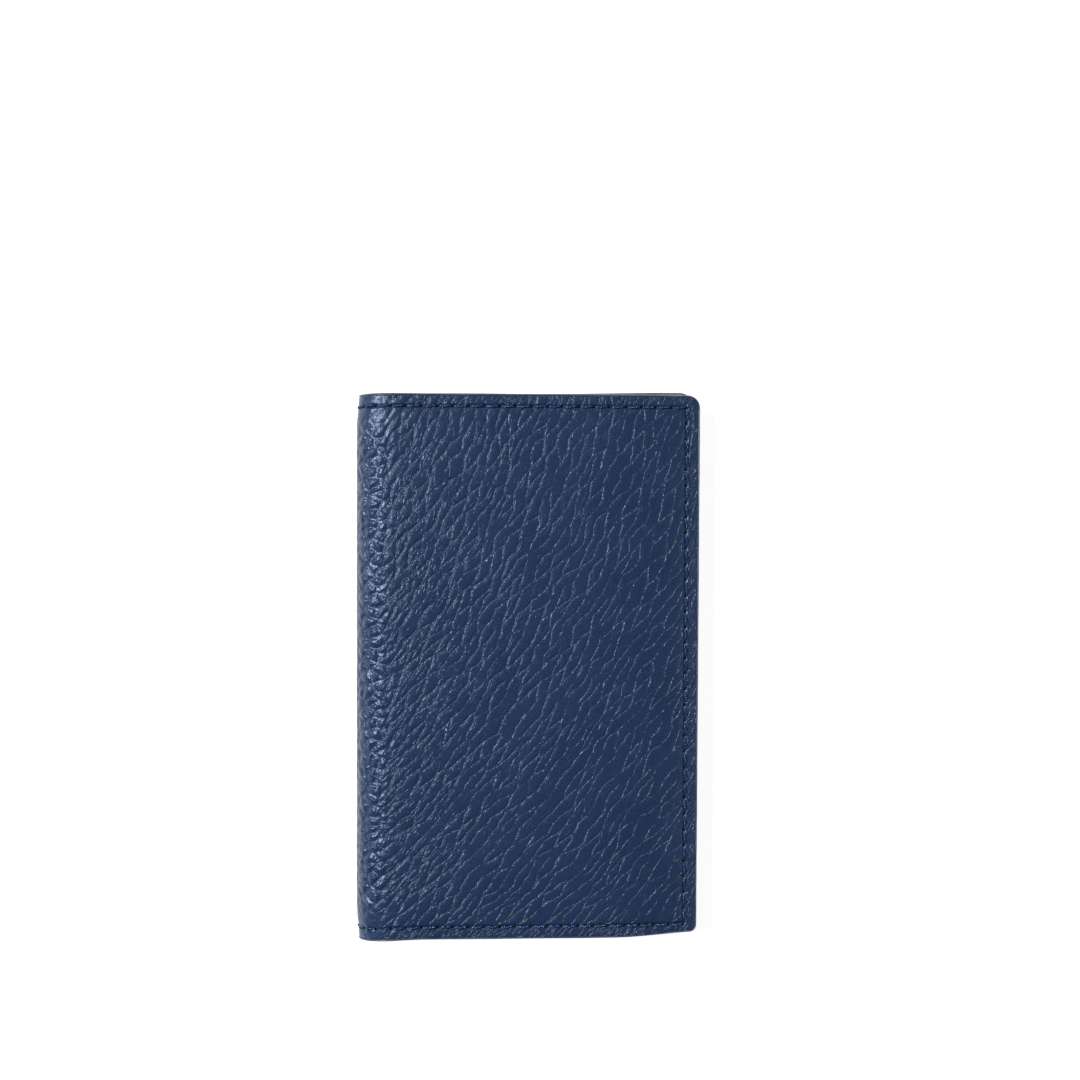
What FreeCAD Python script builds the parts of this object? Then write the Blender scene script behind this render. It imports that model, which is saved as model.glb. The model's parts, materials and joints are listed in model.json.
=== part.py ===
"""Vertical bifold card holder in leather, closed and lying on its back cover.

Frame: +X runs from the spine fold to the free edge, +Y up the covers to the mouths of the card
slots, +Z through the thickness. The origin is the middle of the underside of the closed holder.
Lengths are millimetres and angles are degrees.

Each cover is a stack of layers. A cover has its own frame: X runs along the cover from the end of
the spine arc, Y up the cover, and the outer face lies on Z = 0 with the layers on its inward side.
Depth is the distance from the outer face to a layer. The spine is a round fold in three sectors:
one belongs to each cover and the middle one is a body of its own, so that the holder opens flat
about the two lines where the sectors meet on the outer face.
"""
import FreeCAD, Part
import math
import os
import Sketcher
from FreeCAD import Vector

doc = FreeCAD.newDocument("CardHolder")

# ---------------------------------------------------------------- driving dimensions

DRIVING_DIMENSIONS = [
    ("closed_width", 70, "spine fold to free edge, closed"),
    ("cover_height", 110, "bottom edge to top edge"),
    ("spine_radius", 6, "outer radius of the round fold, half the thickness at the spine"),
    ("back_fold", 90, "turn between the back cover and the middle of the spine"),
    ("cover_tilt", 4.2, "slope of the closed front cover towards its free edge"),
    ("hinge_gap", 0.3, "free space between two sectors of the fold"),
    ("leather_thickness", 1.2, "outer leather"),
    ("board_thickness", 0.3, "stiffening board"),
    ("lining_thickness", 0.2, "lining cloth"),
    ("base_thickness", 0.5, "leather panel behind the card slots"),
    ("slot_thickness", 0.4, "one skived card slot panel"),
    ("corner_radius", 2.6, "outer corners at the free edge"),
    ("paint_thickness", 0.25, "coat of edge paint"),
    ("paint_depth", 2.2, "leather, board, lining and base together"),
    ("board_margin", 5, "board edge to cover edge"),
    ("seam_margin", 2.6, "outer seam to cover edge"),
    ("stitch_pitch", 3.1, "needle hole to needle hole"),
    ("hole_gap", 0.5, "bare groove at a needle hole"),
    ("thread_radius", 0.25, "outer thread"),
    ("groove_width", 0.9, "pressed channel of the outer seam"),
    ("groove_depth", 0.3, "pressed channel of the outer seam"),
    ("fine_thread_radius", 0.15, "thread of the pocket seams"),
    ("fine_groove_width", 0.5, "pressed channel of a slot seam"),
    ("fine_groove_depth", 0.2, "pressed channel of a slot seam"),
    ("pocket_start", 2, "inner edge of the pockets"),
    ("base_drop", 1.1, "pocket base below the top edge, where a strip of lining shows"),
    ("pocket_seam_start", 4, "inner seam of the pockets"),
    ("tail_start", 6.5, "inner edge of a slot panel below its ears"),
    ("tail_margin", 5, "outer edge of a slot panel below its ears to the cover edge"),
    ("ear_height", 12, "part of a slot panel that reaches the side seams"),
    ("first_mouth", 41, "mouth of the top slot above mid height"),
    ("slot_step", 9, "one mouth to the next"),
    ("slot_length", 79, "mouth to the lower edge of a slot panel"),
    ("slot_seam_margin", 1.5, "slot seam to the lower edge of its panel"),
]

sheet = doc.addObject("Spreadsheet::Sheet", "Sizes")
for row, (alias, number, meaning) in enumerate(DRIVING_DIMENSIONS, start=1):
    sheet.set(f"A{row}", meaning)
    sheet.set(f"B{row}", str(number))
    sheet.setAlias(f"B{row}", alias)
doc.recompute()


def value(expression):
    """Number that an expression gives with the sheet's present cells."""
    result = sheet.evalExpression(expression)
    return float(getattr(result, "Value", result))


# Lengths and angles that follow from the driving dimensions.
HALF_HEIGHT = "Sizes.cover_height / 2"
CUT_HALF_HEIGHT = "Sizes.cover_height / 2 - Sizes.paint_thickness"
SPINE_X = "(Sizes.spine_radius - Sizes.closed_width / 2)"
GAP_TURN = "(Sizes.hinge_gap / Sizes.spine_radius / 2 * 180 / pi)"
LINING_DEPTH = "(Sizes.leather_thickness + Sizes.board_thickness)"
BASE_DEPTH = f"({LINING_DEPTH} + Sizes.lining_thickness)"
SLOTS_DEPTH = f"({BASE_DEPTH} + Sizes.base_thickness)"
SLOT_NAMES = ("top", "middle", "bottom")


class Cover:
    """Side, frame and extent of one cover, with its share of the spine fold."""

    def __init__(self, side, inward, length, share, placement):
        self.side = side
        self.inward = inward
        self.length = length
        self.cut_length = f"({length} - Sizes.paint_thickness)"
        self.share = share
        self.placement = placement

    def height_of(self, depth, thickness="0"):
        """Z of the lower face of a layer, in the cover's frame."""
        if self.inward > 0:
            return depth
        return f"-({depth} + {thickness})"


BACK = Cover(
    side="back",
    inward=1,
    length="(Sizes.closed_width - Sizes.spine_radius)",
    share="Sizes.back_fold / 2",
    placement=f"placement(vector({SPINE_X}; 0; 0); rotation(vector(0; 1; 0); 0))",
)
FRONT = Cover(
    side="front",
    inward=-1,
    length="((Sizes.closed_width - Sizes.spine_radius * (1 + sin(Sizes.cover_tilt)))"
           " / cos(Sizes.cover_tilt))",
    share="(Sizes.back_fold + Sizes.cover_tilt) / 2",
    placement=f"placement(vector({SPINE_X} + Sizes.spine_radius * sin(Sizes.cover_tilt); 0;"
              " Sizes.spine_radius * (1 + cos(Sizes.cover_tilt)));"
              " rotation(vector(0; 1; 0); Sizes.cover_tilt))",
)
SPINE_PLACEMENT = (f"placement(vector({SPINE_X}; 0; Sizes.spine_radius);"
                   f" rotation(vector(0; 1; 0); Sizes.back_fold / 2 + {GAP_TURN} - 270))")
SPINE_SWEEP = f"Sizes.back_fold + Sizes.cover_tilt / 2 - 2 * {GAP_TURN}"


# ---------------------------------------------------------------- modelling steps

pieces = []


def new_body(name, placement):
    body = doc.addObject("PartDesign::Body", name)
    body.Label = name
    body.setExpression("Placement", placement)
    pieces.append(body)
    return body


def drive(sketch, kind, geometry, end, expression):
    """Ties one end of a line to the sketch origin with a driven distance."""
    distance = Sketcher.Constraint(kind, -1, 1, geometry, end, value(expression))
    index = sketch.addConstraint(distance)
    name = f"{kind}_{geometry}_{end}"
    sketch.renameConstraint(index, name)
    sketch.setExpression(f"Constraints.{name}", expression)


def add_outline(sketch, corners):
    """Closed outline of straight lines whose corners are pairs of expressions."""
    spots = [Vector(value(x), value(y), 0) for x, y in corners]
    first = sketch.GeometryCount
    lines = [Part.LineSegment(a, b) for a, b in zip(spots, spots[1:] + spots[:1])]
    sketch.addGeometry(lines, False)
    for index, (x, y) in enumerate(corners):
        line = first + index
        following = first + (index + 1) % len(corners)
        sketch.addConstraint(Sketcher.Constraint("Coincident", line, 2, following, 1))
        drive(sketch, "DistanceX", line, 1, x)
        drive(sketch, "DistanceY", line, 1, y)


def new_sketch(body, name, plane, outlines, height="0"):
    """Sketch on one of the body's origin planes, raised by height."""
    sketch = body.newObject("Sketcher::SketchObject", f"{body.Name}_{name}")
    origin_plane = [item for item in body.Origin.OriginFeatures if item.Role == plane][0]
    sketch.AttachmentSupport = [(origin_plane, "")]
    sketch.MapMode = "FlatFace"
    sketch.setExpression("AttachmentOffset.Base.z", height)
    for corners in outlines:
        add_outline(sketch, corners)
    return sketch


def add_pad(body, sketch, thickness):
    pad = body.newObject("PartDesign::Pad", f"{sketch.Name}_pad")
    pad.Profile = sketch
    pad.setExpression("Length", thickness)
    doc.recompute()
    return pad


def add_turn(body, kind, sketch, axis, turn, reverse):
    """Revolution or Groove of a sketch about one of its own axes."""
    volume = body.Shape.Volume if body.Tip else 0
    feature = body.newObject(f"PartDesign::{kind}", f"{sketch.Name}_turn")
    feature.Profile = sketch
    feature.ReferenceAxis = (sketch, [axis])
    feature.setExpression("Angle", turn)
    feature.Reversed = reverse
    doc.recompute()
    grew = body.Shape.Volume > volume
    assert grew == (kind == "Revolution"), f"{feature.Name} points the wrong way"
    return feature


def add_pocket(body, sketch, depth, reverse):
    volume = body.Shape.Volume
    pocket = body.newObject("PartDesign::Pocket", f"{sketch.Name}_pocket")
    pocket.Profile = sketch
    pocket.setExpression("Length", depth)
    pocket.Reversed = reverse
    doc.recompute()
    assert body.Shape.Volume < volume, f"{pocket.Name} cuts nothing"


def round_corners(body, spots, radius):
    """Fillets the upright edges of the body's last feature that stand at the spots."""
    base = body.Tip
    reach = 1e-3
    edges = []
    for number, edge in enumerate(base.Shape.Edges, start=1):
        ends = [vertex.Point for vertex in edge.Vertexes]
        for x, y in spots:
            if all(math.hypot(end.x - value(x), end.y - value(y)) < reach for end in ends):
                edges.append(f"Edge{number}")
    assert len(edges) == len(spots), f"{body.Name} has {len(edges)} corners to round"
    fillet = body.newObject("PartDesign::Fillet", f"{body.Name}_corners_{len(body.Group)}")
    fillet.Base = (base, edges)
    fillet.setExpression("Radius", radius)
    doc.recompute()


def rectangle(left, right, low, high):
    return [(left, low), (right, low), (right, high), (left, high)]


def band(cover, near, far):
    """U-shaped outline along the top, free and bottom edges, between two distances from them."""
    near_x = f"{cover.length} - ({near})"
    far_x = f"{cover.length} - ({far})"
    near_y = f"{HALF_HEIGHT} - ({near})"
    far_y = f"{HALF_HEIGHT} - ({far})"
    return [
        ("0", near_y),
        (near_x, near_y),
        (near_x, f"-({near_y})"),
        ("0", f"-({near_y})"),
        ("0", f"-({far_y})"),
        (far_x, f"-({far_y})"),
        (far_x, far_y),
        ("0", far_y),
    ]


def arc_sketch(body, cover, name, rows, depth, thickness):
    """Rectangles on the end of the flat part, with the spine's axis as a construction line."""
    low = cover.height_of(depth, thickness)
    outlines = [rectangle(left, right, low, f"{low} + {thickness}") for left, right in rows]
    sketch = new_sketch(body, name, "YZ_Plane", outlines)
    axis_z = f"{cover.inward} * Sizes.spine_radius"
    ends = (f"-{HALF_HEIGHT}", HALF_HEIGHT)
    line = Part.LineSegment(*[Vector(value(end), value(axis_z), 0) for end in ends])
    axis = sketch.addGeometry(line, True)
    for number, end in enumerate(ends, start=1):
        drive(sketch, "DistanceX", axis, number, end)
        drive(sketch, "DistanceY", axis, number, axis_z)
    return sketch


def add_arc(body, cover, kind, name, rows, depth, thickness):
    """Carries rows of the flat part round the cover's share of the fold, or cuts them from it."""
    sketch = arc_sketch(body, cover, name, rows, depth, thickness)
    turn = f"{cover.share} - {GAP_TURN}"
    add_turn(body, kind, sketch, "Axis0", turn, reverse=cover.inward < 0)


SEAM_NEAR = "Sizes.seam_margin - Sizes.groove_width / 2"
SEAM_FAR = "Sizes.seam_margin + Sizes.groove_width / 2"


def seam_rows():
    """Height ranges of the top and bottom grooves, which run on over the spine."""
    near = f"({HALF_HEIGHT} - ({SEAM_NEAR}))"
    far = f"({HALF_HEIGHT} - ({SEAM_FAR}))"
    return [(far, near), (f"-{near}", f"-{far}")]


def paint_rows():
    """Height ranges of the edge paint at the top and bottom edges."""
    return [(CUT_HALF_HEIGHT, HALF_HEIGHT), (f"-({HALF_HEIGHT})", f"-({CUT_HALF_HEIGHT})")]


# ---------------------------------------------------------------- layers of a cover

def cut_corners(cover):
    return [(cover.cut_length, CUT_HALF_HEIGHT), (cover.cut_length, f"-({CUT_HALF_HEIGHT})")]


def make_layer(cover, name, outline, depth, thickness):
    """Flat layer of a cover with the given outline."""
    body = new_body(f"{cover.side}_{name}", cover.placement)
    height = cover.height_of(depth, thickness)
    add_pad(body, new_sketch(body, "outline", "XY_Plane", [outline], height), thickness)
    return body


def cover_outline(cover, start):
    return rectangle(start, cover.cut_length, f"-({CUT_HALF_HEIGHT})", CUT_HALF_HEIGHT)


CUT_CORNER_RADIUS = "Sizes.corner_radius - Sizes.paint_thickness"
FULL_ROW = [(f"-({CUT_HALF_HEIGHT})", CUT_HALF_HEIGHT)]


def make_leather(cover):
    """Outer leather: flat part, rounded free corners, its sector of the fold, seam groove."""
    thickness = "Sizes.leather_thickness"
    body = make_layer(cover, "leather", cover_outline(cover, "0"), "0", thickness)
    round_corners(body, cut_corners(cover), CUT_CORNER_RADIUS)
    add_arc(body, cover, "Revolution", "fold", FULL_ROW, "0", thickness)
    groove = new_sketch(body, "groove", "XY_Plane", [band(cover, SEAM_NEAR, SEAM_FAR)])
    add_pocket(body, groove, "Sizes.groove_depth", reverse=cover.inward > 0)
    add_arc(body, cover, "Groove", "fold_groove", seam_rows(), "0", "Sizes.groove_depth")


def make_board(cover):
    """Stiffener inside the cover, clear of the seam."""
    margin = "Sizes.board_margin"
    top = f"{HALF_HEIGHT} - {margin}"
    outline = rectangle("0", f"{cover.length} - {margin}", f"-({top})", top)
    make_layer(cover, "board", outline, "Sizes.leather_thickness", "Sizes.board_thickness")


def make_lining(cover):
    """Lining cloth of the cover and of its sector of the fold."""
    thickness = "Sizes.lining_thickness"
    body = make_layer(cover, "lining", cover_outline(cover, "0"), LINING_DEPTH, thickness)
    round_corners(body, cut_corners(cover), CUT_CORNER_RADIUS)
    add_arc(body, cover, "Revolution", "fold", FULL_ROW, LINING_DEPTH, thickness)


def make_pocket_base(cover):
    """Leather panel that carries the card slots, a little lower than the cover."""
    top = f"({HALF_HEIGHT} - Sizes.base_drop)"
    bottom = f"-({CUT_HALF_HEIGHT})"
    outline = rectangle("Sizes.pocket_start", cover.cut_length, bottom, top)
    body = make_layer(cover, "pocket_base", outline, BASE_DEPTH, "Sizes.base_thickness")
    round_corners(body, [(cover.cut_length, top), (cover.cut_length, bottom)], CUT_CORNER_RADIUS)


def slot_depth(index):
    return f"({SLOTS_DEPTH} + {index} * Sizes.slot_thickness)"


def slot_mouth(index):
    return f"(Sizes.first_mouth - {index} * Sizes.slot_step)"


def slot_lower_edge(index):
    return f"({slot_mouth(index)} - Sizes.slot_length)"


def tail_end(cover):
    return f"({cover.length} - Sizes.tail_margin)"


def make_hidden_slot(cover, index):
    """Card slot panel shaped like a T: ears in the side seams, a narrower tail sewn across."""
    mouth = slot_mouth(index)
    ears_end = f"{mouth} - Sizes.ear_height"
    lower = slot_lower_edge(index)
    outline = [
        ("Sizes.pocket_start", ears_end),
        ("Sizes.tail_start", ears_end),
        ("Sizes.tail_start", lower),
        (tail_end(cover), lower),
        (tail_end(cover), ears_end),
        (cover.cut_length, ears_end),
        (cover.cut_length, mouth),
        ("Sizes.pocket_start", mouth),
    ]
    name = f"slot_{SLOT_NAMES[index]}"
    body = make_layer(cover, name, outline, slot_depth(index), "Sizes.slot_thickness")
    seam_y = f"({lower} + Sizes.slot_seam_margin)"
    half_width = "Sizes.fine_groove_width / 2"
    channel = rectangle("Sizes.tail_start", tail_end(cover),
                        f"{seam_y} - {half_width}", f"{seam_y} + {half_width}")
    inner_face = f"{cover.inward} * {slot_depth(index + 1)}"
    groove = new_sketch(body, "groove", "XY_Plane", [channel], inner_face)
    add_pocket(body, groove, "Sizes.fine_groove_depth", reverse=cover.inward < 0)


def make_bottom_slot(cover, index):
    """Front card slot panel, which covers the whole lower part of the pockets."""
    outline = rectangle("Sizes.pocket_start", cover.cut_length,
                        f"-({CUT_HALF_HEIGHT})", slot_mouth(index))
    name = f"slot_{SLOT_NAMES[index]}"
    body = make_layer(cover, name, outline, slot_depth(index), "Sizes.slot_thickness")
    round_corners(body, cut_corners(cover)[1:], CUT_CORNER_RADIUS)


def make_edge_paint(cover):
    """Coat of paint round the cut edges, carried on over the cover's sector of the fold."""
    outline = band(cover, "0", "Sizes.paint_thickness")
    body = make_layer(cover, "edge_paint", outline, "0", "Sizes.paint_depth")
    round_corners(body, cut_corners(cover), CUT_CORNER_RADIUS)
    round_corners(body, [(cover.length, HALF_HEIGHT), (cover.length, f"-({HALF_HEIGHT})")],
                  "Sizes.corner_radius")
    add_arc(body, cover, "Revolution", "fold", paint_rows(), "0", BASE_DEPTH)


# ---------------------------------------------------------------- sectors of the spine

def make_sector(name, rows, depth, thickness):
    """Middle sector of the fold, turned about the spine's axis."""
    body = new_body(name, SPINE_PLACEMENT)
    outer = f"Sizes.spine_radius - {depth}"
    outlines = [rectangle(f"{outer} - {thickness}", outer, low, high) for low, high in rows]
    sketch = new_sketch(body, "section", "XY_Plane", outlines)
    add_turn(body, "Revolution", sketch, "V_Axis", SPINE_SWEEP, reverse=False)
    return body


def make_spine_leather():
    body = make_sector("spine_leather", FULL_ROW, "0", "Sizes.leather_thickness")
    radius = "Sizes.spine_radius"
    outlines = [rectangle(f"{radius} - Sizes.groove_depth", radius, low, high)
                for low, high in seam_rows()]
    sketch = new_sketch(body, "groove", "XY_Plane", outlines)
    add_turn(body, "Groove", sketch, "V_Axis", SPINE_SWEEP, reverse=False)


# ---------------------------------------------------------------- seams

def thread_section(radius, centre, along, outward):
    """Half disc whose flat side lies on the seam's floor at centre."""
    across = along.cross(outward)
    left = centre - across * radius
    right = centre + across * radius
    arch = Part.Arc(left, centre + outward * radius, right).toShape()
    floor = Part.LineSegment(right, left).toShape()
    return Part.Face(Part.Wire([arch, floor]))


def stitch_spans(distance):
    """Start and length of each stitch when whole stitches fill a distance."""
    count = max(1, round(distance / value("Sizes.stitch_pitch")))
    pitch = distance / count
    length = pitch - value("Sizes.hole_gap")
    return [(pitch * index + (pitch - length) / 2, length) for index in range(count)]


def straight_stitches(start, end, outward, radius):
    """Row of stitches on a flat face."""
    along = (end - start).normalize()
    row = []
    for offset, length in stitch_spans((end - start).Length):
        section = thread_section(radius, start + along * offset, along, outward)
        row.append(section.extrude(along * length))
    return row


def arc_stitches(axis_point, start, turn, radius):
    """Row of stitches from start round the spine's axis, turn degrees about +Y."""
    y_axis = Vector(0, 1, 0)
    outward = (start - axis_point).normalize()
    floor_radius = (start - axis_point).Length
    along = y_axis.cross(outward)
    if turn < 0:
        along = -along
    section = thread_section(radius, start, along, outward)
    arc_length = math.radians(abs(turn)) * floor_radius
    row = []
    for offset, length in stitch_spans(arc_length):
        stitch = section.revolve(axis_point, y_axis, turn * length / arc_length)
        stitch.rotate(axis_point, y_axis, turn * offset / arc_length)
        row.append(stitch)
    return row


def new_seam(name, stitches, placement):
    seam = doc.addObject("Part::Feature", name)
    seam.Label = name
    seam.Shape = Part.makeCompound(stitches)
    seam.setExpression("Placement", placement)
    pieces.append(seam)


def make_perimeter_seam(cover):
    """Stitches on the floor of the outer groove, up to the cover's end of the fold."""
    radius = value("Sizes.thread_radius")
    floor_z = cover.inward * value("Sizes.groove_depth")
    outward = Vector(0, 0, -cover.inward)
    seam_x = value(f"{cover.length} - Sizes.seam_margin")
    seam_y = value(f"{HALF_HEIGHT} - Sizes.seam_margin")
    corner_gap = Vector(0, 2 * radius, 0)
    top_corner = Vector(seam_x, seam_y, floor_z)
    bottom_corner = Vector(seam_x, -seam_y, floor_z)
    stitches = straight_stitches(top_corner - corner_gap, bottom_corner + corner_gap,
                                 outward, radius)
    axis_point = Vector(0, 0, cover.inward * value("Sizes.spine_radius"))
    turn = value(f"{cover.share} - {GAP_TURN}") * cover.inward
    for corner in (top_corner, bottom_corner):
        start = Vector(0, corner.y, floor_z)
        stitches += straight_stitches(start, corner, outward, radius)
        stitches += arc_stitches(axis_point + Vector(0, corner.y, 0), start, turn, radius)
    new_seam(f"{cover.side}_perimeter_seam", stitches, cover.placement)


def make_spine_seam():
    """Stitches of the top and bottom rows over the middle sector of the fold."""
    radius = value("Sizes.thread_radius")
    floor_radius = value("Sizes.spine_radius - Sizes.groove_depth")
    seam_y = value(f"{HALF_HEIGHT} - Sizes.seam_margin")
    turn = value(SPINE_SWEEP)
    stitches = []
    for y in (seam_y, -seam_y):
        axis_point = Vector(0, y, 0)
        stitches += arc_stitches(axis_point, axis_point + Vector(floor_radius, 0, 0),
                                 turn, radius)
    new_seam("spine_seam", stitches, SPINE_PLACEMENT)


def make_pocket_seam(cover):
    """Inner seam of the pockets, one run on each panel that it crosses."""
    radius = value("Sizes.fine_thread_radius")
    outward = Vector(0, 0, cover.inward)
    x = value("Sizes.pocket_seam_start")
    clear = 2 * radius
    mouths = [value(slot_mouth(index)) for index in range(len(SLOT_NAMES))]
    ends = mouths[1:] + [value(f"-({HALF_HEIGHT} - Sizes.seam_margin)")]
    stitches = []
    for index, (mouth, end) in enumerate(zip(mouths, ends)):
        face_z = cover.inward * value(slot_depth(index + 1))
        stitches += straight_stitches(Vector(x, mouth - clear, face_z),
                                      Vector(x, end + clear, face_z), outward, radius)
    new_seam(f"{cover.side}_pocket_seam", stitches, cover.placement)


def make_slot_seam(cover, index):
    """Seam across the tail of a hidden slot panel, which is the floor of that slot."""
    radius = value("Sizes.fine_thread_radius")
    outward = Vector(0, 0, cover.inward)
    y = value(f"{slot_lower_edge(index)} + Sizes.slot_seam_margin")
    floor_z = cover.inward * value(f"{slot_depth(index + 1)} - Sizes.fine_groove_depth")
    stitches = straight_stitches(Vector(value("Sizes.tail_start"), y, floor_z),
                                 Vector(value(tail_end(cover)), y, floor_z), outward, radius)
    new_seam(f"{cover.side}_slot_seam_{SLOT_NAMES[index]}", stitches, cover.placement)


# ---------------------------------------------------------------- assembly

for cover in (BACK, FRONT):
    make_leather(cover)
    make_board(cover)
    make_lining(cover)
    make_pocket_base(cover)
    make_hidden_slot(cover, 0)
    make_hidden_slot(cover, 1)
    make_bottom_slot(cover, 2)
    make_edge_paint(cover)
    make_perimeter_seam(cover)
    make_pocket_seam(cover)
    make_slot_seam(cover, 0)
    make_slot_seam(cover, 1)

make_spine_leather()
make_sector("spine_reinforcement", FULL_ROW, "Sizes.leather_thickness", "Sizes.board_thickness")
make_sector("spine_lining", FULL_ROW, LINING_DEPTH, "Sizes.lining_thickness")
make_sector("spine_edge_paint", paint_rows(), "0", BASE_DEPTH)
make_spine_seam()
doc.recompute()

# ---------------------------------------------------------------- checks and export

for item in doc.Objects:
    assert "Invalid" not in item.State and "Error" not in item.State, f"{item.Name} failed"
for piece in pieces:
    assert not piece.Shape.isNull() and piece.Shape.isValid(), f"{piece.Label} has no valid shape"

os.makedirs("parts", exist_ok=True)
for piece in pieces:
    piece.Shape.exportStep(os.path.join("parts", f"{piece.Label}.step"))
    box = piece.Shape.BoundBox
    print(f"{piece.Label}: {len(piece.Shape.Solids)} solids, {piece.Shape.Volume:.1f} mm3,"
          f" x {box.XMin:.2f}..{box.XMax:.2f}, y {box.YMin:.2f}..{box.YMax:.2f},"
          f" z {box.ZMin:.2f}..{box.ZMax:.2f}")
print(f"hinge angles: {value('Sizes.back_fold'):.1f} and"
      f" {value('Sizes.back_fold + Sizes.cover_tilt'):.1f}")
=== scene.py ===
"""Looks of the leather card holder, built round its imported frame.

Every layer is drawn on one unrolled hide: s runs along the outer face from the free edge of the
back cover (negative) over the middle of the spine (0) to the free edge of the front cover, y runs
up the covers, and depth runs inwards from the outer face. u is s without its sign. place() rolls
that hide up into the closed holder. UV maps hold s and y in metres, so grain and weave stay on the
hide when it bends. side is 1 for the front and -1 for the back.
"""
import json
import math
from itertools import pairwise
import bpy
import numpy as np
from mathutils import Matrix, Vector


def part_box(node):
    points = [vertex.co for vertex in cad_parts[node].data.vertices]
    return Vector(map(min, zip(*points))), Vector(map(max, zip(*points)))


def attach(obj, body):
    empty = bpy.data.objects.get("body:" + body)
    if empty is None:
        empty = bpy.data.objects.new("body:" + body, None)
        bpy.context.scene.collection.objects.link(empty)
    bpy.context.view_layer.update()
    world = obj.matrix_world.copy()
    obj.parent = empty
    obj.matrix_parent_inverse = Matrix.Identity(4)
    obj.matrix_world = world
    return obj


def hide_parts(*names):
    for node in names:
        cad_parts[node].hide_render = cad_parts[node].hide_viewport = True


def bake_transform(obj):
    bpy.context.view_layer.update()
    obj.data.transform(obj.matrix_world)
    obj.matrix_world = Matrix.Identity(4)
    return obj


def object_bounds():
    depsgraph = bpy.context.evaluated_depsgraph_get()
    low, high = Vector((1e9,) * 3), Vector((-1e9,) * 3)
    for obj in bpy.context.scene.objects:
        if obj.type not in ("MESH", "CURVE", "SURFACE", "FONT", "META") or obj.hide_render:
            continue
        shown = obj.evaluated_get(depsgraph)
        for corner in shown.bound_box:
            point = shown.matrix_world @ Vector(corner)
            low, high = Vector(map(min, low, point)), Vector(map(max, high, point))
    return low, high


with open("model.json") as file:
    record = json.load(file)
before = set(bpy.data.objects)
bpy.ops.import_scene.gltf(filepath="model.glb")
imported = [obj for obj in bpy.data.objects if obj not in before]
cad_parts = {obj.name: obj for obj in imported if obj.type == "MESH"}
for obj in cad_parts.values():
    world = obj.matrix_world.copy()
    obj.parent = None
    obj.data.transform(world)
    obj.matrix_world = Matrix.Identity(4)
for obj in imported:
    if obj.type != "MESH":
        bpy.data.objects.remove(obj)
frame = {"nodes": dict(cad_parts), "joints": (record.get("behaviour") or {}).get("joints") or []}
cad_low, cad_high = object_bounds()

MM = 0.001
rng = np.random.default_rng(7)

# ------------ sizes from the frame

SPINE_RADIUS = (cad_high.z - cad_low.z) / 2
SPINE_X = cad_low.x + SPINE_RADIUS
FREE_X = cad_high.x
HALF_HEIGHT = cad_high.y
FRONT_FOLD = next(joint for joint in frame["joints"] if joint["name"] == "front_fold")
COVER_TILT = math.radians(FRONT_FOLD["range_deg"][1] - 90)


def layer(node):
    """Depths of the outer and inner face of one of the back cover's flat layers."""
    low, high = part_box(node)
    return low.z, high.z


def corner_values(node, axis):
    """Different coordinates of a plate's corners along one axis, in rising order."""
    return sorted({round(vertex.co[axis], 5) for vertex in frame["nodes"][node].data.vertices})


BOARD = layer("back_board")
BASE = layer("back_pocket_base")
LEATHER = (0.0, BOARD[0])
LINING = (BOARD[1], BASE[0])
BASE_LOW, BASE_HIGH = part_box("back_pocket_base")
SLOT_NAMES = ("top", "middle", "bottom")
SIDES = {1: "front", -1: "back"}
CAD_THREAD_RADIUS = 0.25 * MM
SEAM_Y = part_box("back_perimeter_seam")[1].y - CAD_THREAD_RADIUS
SEAM_MARGIN = HALF_HEIGHT - SEAM_Y
PAINT_THICKNESS = FREE_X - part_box("back_leather")[1].x
CUT_HALF = HALF_HEIGHT - PAINT_THICKNESS

# ------------ sizes of the visual alone

CORNER_RADII = {1: (2.6 * MM, 1.5 * MM), -1: (3.4 * MM, 1.5 * MM)}  # top and bottom corner
LEATHER_SPACING = 0.34 * MM  # of the hide's grid
EDGE_STEPS = np.array([0, 0.08, 0.2, 0.38, 0.6]) * MM  # finer lines along a cut edge
SEAM_STEPS = np.array([-0.75, *(0.12 * np.arange(-5, 6)), 0.75]) * MM  # and across a seam
RELIEF_TOP = 0.24 * MM  # height of the hide's highest pebbles
HIDE_ROUNDING = (0.6 * MM, 0.28 * MM)  # of the hide's cut edge: reach and drop
FRONT_PLUMP = 0.16 * MM  # the front leather stands out over its board
PANEL_RIM = 0.3 * MM  # reach of a pocket panel's rounded edge
DRAPE_REACH = 2.6 * MM  # a slot panel settles this far beside one below it
MOUTH_LINE = 1.6 * MM  # from a slot's mouth to the line pressed under it

STITCH = 3.14 * MM
ROW_START = 1.2 * MM  # first needle hole from the middle of the fold
COLUMN_INSET = 0.3 * MM  # the seam of the free edge lies this much further in
GROOVE_WIDTH = 0.95 * MM
GROOVE_DEPTH = 0.28 * MM
HOLE_ACROSS = 0.26  # half width of a needle hole, in mm
THREAD_RADIUS = 0.31 * MM
INNER_THREAD_RADIUS = 0.2 * MM
SLOT_THREAD_RADIUS = 0.12 * MM
THREAD_START = 0.62 * MM  # depth at which a stitch leaves its hole
THREAD_TOP = {1: 0.04 * MM, -1: 0.30 * MM}  # depth of the thread on the covers
THREAD_SUNK = 0.28 * MM  # and at least this deep in the fold
PLY_TURN = 1.15 * MM  # length in which the two plies turn once

# ------------ the rolled hide

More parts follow.
